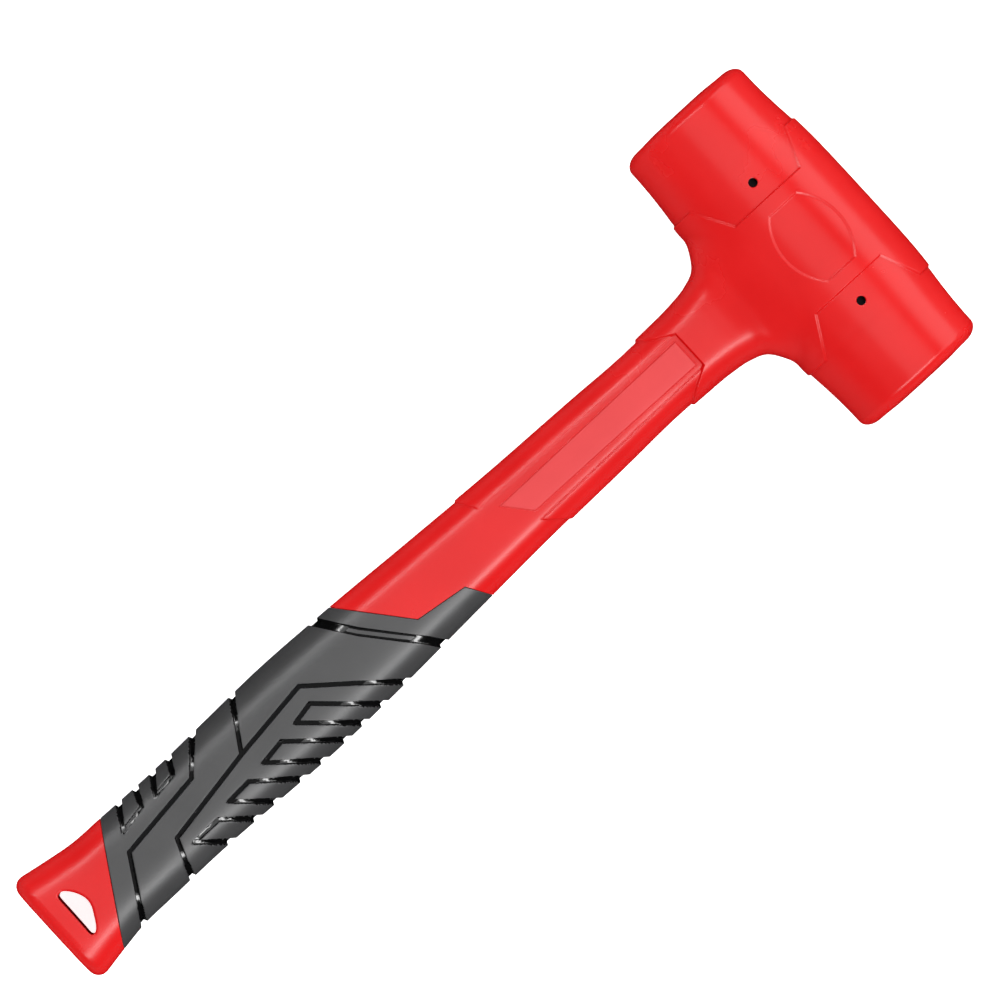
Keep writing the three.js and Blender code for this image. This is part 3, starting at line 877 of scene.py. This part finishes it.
def thicken(bm):
    """Closes an open skin with an inner wall a thickness below the blank."""
    layers = bm.verts.layers.float_vector
    rest, out, shade = (layers[name] for name in ("rest", "out", "shade"))
    rim = [e for e in bm.edges if e.is_boundary]
    made = bmesh.ops.duplicate(bm, geom=bm.faces[:])
    inner = [g for g in made["geom"] if isinstance(g, bmesh.types.BMFace)]
    bmesh.ops.reverse_faces(bm, faces=inner)
    walls = {v for f in inner for v in f.verts}
    for vertex in walls:
        vertex.co = vertex[rest] - GRIP_THICKNESS * vertex[out]
        vertex[shade] = -vertex[out]
    inner_rim = [e for e in bm.edges if e.is_boundary and e.verts[0] in walls]
    middle = (GRIP_TOP_EDGE[2][0] + GRIP_BOTTOM_EDGE[1][0]) / 2
    for above in (True, False):
        ends = [e for e in rim + inner_rim if (e.verts[0].co.x > middle) == above]
        bmesh.ops.bridge_loops(bm, edges=ends)
    bmesh.ops.triangulate(bm, faces=bm.faces)


# ---- Steel inside ----

ALONG_X = Matrix.Rotation(math.pi / 2, 4, "Z")


def turned(profile, closed=False, steps=96):
    """A piece turned about Y from a profile of (radius, y) points."""
    bm = bmesh.new()
    verts = [bm.verts.new((radius, y, 0)) for radius, y in profile]
    pairs = list(zip(verts, verts[1:])) + ([(verts[-1], verts[0])] if closed else [])
    edges = [bm.edges.new(pair) for pair in pairs]
    bmesh.ops.spin(
        bm, geom=verts + edges, cent=(0, 0, 0), axis=(0, 1, 0), angle=2 * math.pi, steps=steps, use_merge=True
    )
    bmesh.ops.remove_doubles(bm, verts=bm.verts, dist=1e-3)
    bmesh.ops.recalc_face_normals(bm, faces=bm.faces)
    return bm


def quarter_turn(centre, radius, start, steps=5):
    """Points round a quarter circle from an angle in degrees on."""
    return arc(centre, radius, start, start + 90, steps)


def steel_piece(bm, node, slot, body="mallet", fold=30):
    """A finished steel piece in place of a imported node."""
    bmesh.ops.triangulate(bm, faces=bm.faces)
    piece = piece_from(bm, node + "_fine", body, STEELS[slot])
    piece.data.set_sharp_from_angle(angle=math.radians(fold))
    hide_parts(node)
    return piece


def canister_tube():
    mouth, inner = CANISTER_RADIUS - CANISTER_LIP, CANISTER_RADIUS - CANISTER_WALL
    end = CANISTER_HALF_LENGTH
    corner = quarter_turn((CANISTER_RADIUS - CANISTER_CORNER, end - CANISTER_CORNER), CANISTER_CORNER, 0)
    upper = [*corner, (mouth, end), (mouth, end - CANISTER_WALL), (inner, end - CANISTER_WALL)]
    lower = [(radius, -y) for radius, y in reversed(upper)]
    steel_piece(turned(lower + upper, closed=True), "canister_tube", "canister_steel")


def canister_cap(node, side):
    radius = CANISTER_RADIUS - CANISTER_WALL - FIT
    outer = CANISTER_HALF_LENGTH - CANISTER_WALL - FIT
    inner = outer - CAP_THICKNESS
    profile = [
        (0, inner),
        *quarter_turn((radius - CAP_EDGE, inner + CAP_EDGE), CAP_EDGE, -90),
        *quarter_turn((radius - CAP_EDGE, outer - CAP_EDGE), CAP_EDGE, 0),
        (CAP_DISH_RADIUS, outer), (CAP_DISH_RADIUS - 1, outer - CAP_DISH), (0, outer - CAP_DISH),
    ]
    steel_piece(turned([(r, side * y) for r, y in profile]), node, "canister_steel")


def handle_socket():
    bm = bmesh.new()
    bar(bm, FOOT_RADIUS, FOOT_X, SOCKET_START_X, "X", segments=96)
    post = bmesh.new()
    bar(post, POST_RADIUS, POST_END_X, SOCKET_START_X, "X", segments=96)
    tool = tool_from(post, "post")
    bm = applied(bm, "joined", ("BOOLEAN", {"operation": "UNION", "solver": "MANIFOLD", "object": tool}))
    bpy.data.objects.remove(tool)
    cuts = [
        bar_tool(CANISTER_RADIUS + FIT, -FAR, FAR, "Y", (0, 0, 0), 96),
        bar_tool(ROD_RADIUS + FIT, BORE_START_X, POST_END_X - 1, "X", (0, 0, 0), 64),
        bar_tool(PIN_RADIUS + FIT, -FAR, FAR, "Z", (PIN_X, 0, 0), 32),
    ]
    steel_piece(cut_with(bm, cuts), "handle_socket", "canister_steel")


def handle_rod():
    half = (ROD_START_X - ROD_END_X) / 2
    middle = (ROD_START_X + ROD_END_X) / 2
    upper = [(ROD_RADIUS, half - ROD_CHAMFER), (ROD_RADIUS - ROD_CHAMFER, half), (0, half)]
    bm = turned([(radius, -y) for radius, y in reversed(upper)] + upper, steps=64)
    bmesh.ops.transform(bm, matrix=Matrix.Translation((middle, 0, 0)) @ ALONG_X, verts=bm.verts)
    bm = cut_with(bm, [bar_tool(PIN_RADIUS + FIT, -FAR, FAR, "Z", (PIN_X, 0, 0), 32)])
    steel_piece(bm, "handle_rod", "rod_steel")


def cross_pin():
    bm = bmesh.new()
    bar(bm, PIN_RADIUS, -PIN_HALF_LENGTH, PIN_HALF_LENGTH, "Z", (PIN_X, 0, 0), 48)
    rims = [e for e in bm.edges if abs(e.verts[0].co.z - e.verts[1].co.z) < 1e-3]
    bmesh.ops.bevel(bm, geom=rims, offset=PIN_EDGE, affect="EDGES", segments=3, profile=0.5, material=-1)
    steel_piece(bm, "cross_pin", "rod_steel")


def shot_ball(node):
    """A smooth ball in place of a shot node, at the node's own place and size."""
    low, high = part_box(node)
    bm = bmesh.new()
    place = TO_ROW.inverted() @ Matrix.Translation((low + high) / 2)
    bmesh.ops.create_icosphere(bm, subdivisions=3, radius=(high.y - low.y) / 2, matrix=place)
    steel_piece(bm, node, "shot_steel", body="shot_charge", fold=180)


# ---- Stage, lights and camera ----

FLOOR_SIZE = 4  # in metres
FLOOR_GLOW = 0.85
VIEW_CENTRE = (-114.5, 4.86)  # of the picture, in the mallet's frame
VIEW_WIDTH = 291.5
VIEW_ROLL = 42.58  # how far the handle is turned up from the picture's horizontal
CAMERA_HEIGHT = 5000


def soft_light(name, direction, size, radiance, target=(-100, 0, 0), distance=2000):
    """A rectangular light of an even radiance, off in a direction from a target in the mallet's frame."""
    light = bpy.data.lights.new(name, "AREA")
    light.shape = "RECTANGLE"
    light.size, light.size_y = (edge * MM for edge in size)
    light.energy = radiance * math.pi * light.size * light.size_y
    lamp = bpy.data.objects.new(name, light)
    SCENE.collection.objects.link(lamp)
    away = Vector(direction).normalized()
    place = Matrix.Translation(Vector(target) + away * distance)
    lamp.matrix_world = TO_ROW @ place @ away.to_track_quat("Z", "Y").to_matrix().to_4x4() @ Matrix.Scale(1 / MM, 4)


def leaning(x=0, y=0):
    """The direction some degrees off the mallet's Z, toward +X or +Y."""
    return (math.tan(math.radians(x)), math.tan(math.radians(y)), 1)


def stage():
    """A plain white floor, left out of the mallet's gloss so that its sides stay deep in colour."""
    bm = bmesh.new()
    bmesh.ops.create_grid(bm, x_segments=1, y_segments=1, size=FLOOR_SIZE)
    mesh = bpy.data.meshes.new("floor")
    bm.to_mesh(mesh)
    bm.free()
    mesh.materials.append(FLOOR_WHITE)
    shader = FLOOR_WHITE.node_tree.nodes["Principled BSDF"]
    shader.inputs["Emission Color"].default_value = (1, 1, 1, 1)
    shader.inputs["Emission Strength"].default_value = FLOOR_GLOW
    floor = bpy.data.objects.new("floor", mesh)
    SCENE.collection.objects.link(floor)
    floor.visible_glossy = False


def camera():
    data = bpy.data.cameras.new("camera")
    data.sensor_width = 36
    data.lens = data.sensor_width * CAMERA_HEIGHT / VIEW_WIDTH
    eye = bpy.data.objects.new("camera", data)
    SCENE.collection.objects.link(eye)
    roll = Matrix.Rotation(math.radians(-VIEW_ROLL), 4, "Z")
    eye.matrix_world = TO_ROW @ Matrix.Translation((*VIEW_CENTRE, CAMERA_HEIGHT)) @ roll @ Matrix.Scale(1 / MM, 4)
    SCENE.camera = eye


def lights():
    world = bpy.data.worlds.new("studio")
    world.use_nodes = True
    world.node_tree.nodes["Background"].inputs["Color"].default_value = (1, 1, 1, 1)
    world.node_tree.nodes["Background"].inputs["Strength"].default_value = 0.97
    world.cycles_visibility.glossy = False
    SCENE.world = world
    SCENE.view_settings.view_transform = "Standard"
    soft_light("overhead", leaning(x=14), (4000, 1900), 0.88)
    soft_light("behind_handle", leaning(x=-32), (4000, 1300), 0.12)
    soft_light("beside_handle", leaning(y=-37), (3000, 280), 9)
    soft_light("far_side", leaning(x=10, y=37), (2200, 120), 10)
    soft_light("beyond_head", leaning(x=74), (3000, 1340), 1.6, target=(0, 0, 0))


stage()
camera()
lights()
casing()
grip()
canister_tube()
canister_cap("canister_cap_front", 1)
canister_cap("canister_cap_rear", -1)
handle_socket()
handle_rod()
cross_pin()
for name in frame["nodes"]:
    if name.startswith("shot_ball_"):
        shot_ball(name)
